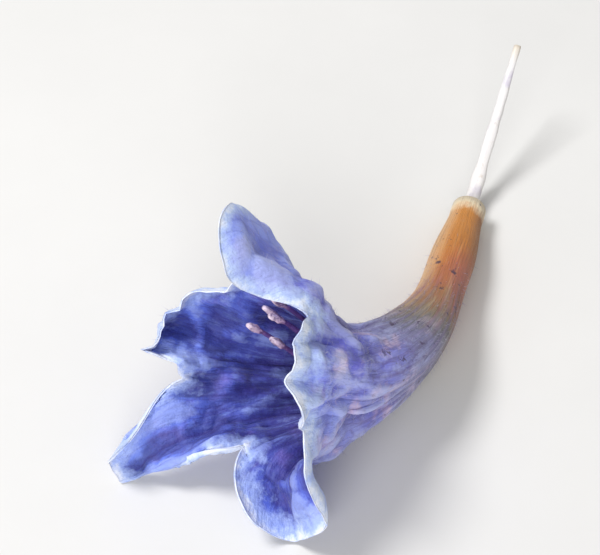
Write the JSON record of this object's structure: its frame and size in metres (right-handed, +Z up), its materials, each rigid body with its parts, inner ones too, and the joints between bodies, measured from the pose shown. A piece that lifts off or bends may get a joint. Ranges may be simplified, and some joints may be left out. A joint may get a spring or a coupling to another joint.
{
  "type": "dried borage flower",
  "caption": "Dried Persian borage flower lying on its side: curved tube, pleated funnel and uneven blue lobes, with the style sticking out of the open base end.",
  "frame": {"origin": "on the surface the flower lies on, under the middle of its bounding box", "axes": "+Z up from the surface; +Y along the length of the flower, from the lobes at -Y to the base end of the tube and the free end of the style at +Y; the mouth looks towards -X and up"},
  "size_m": [0.0216, 0.0298, 0.0144],
  "materials": {
    "petal": "matte",
    "style": "satin",
    "stamen": "matte"
  },
  "bodies": {
    "root": {"corolla": "petal", "style": "style", "stamen_1": "stamen", "stamen_2": "stamen", "stamen_3": "stamen", "stamen_4": "stamen", "stamen_5": "stamen"}
  },
  "joints": []
}
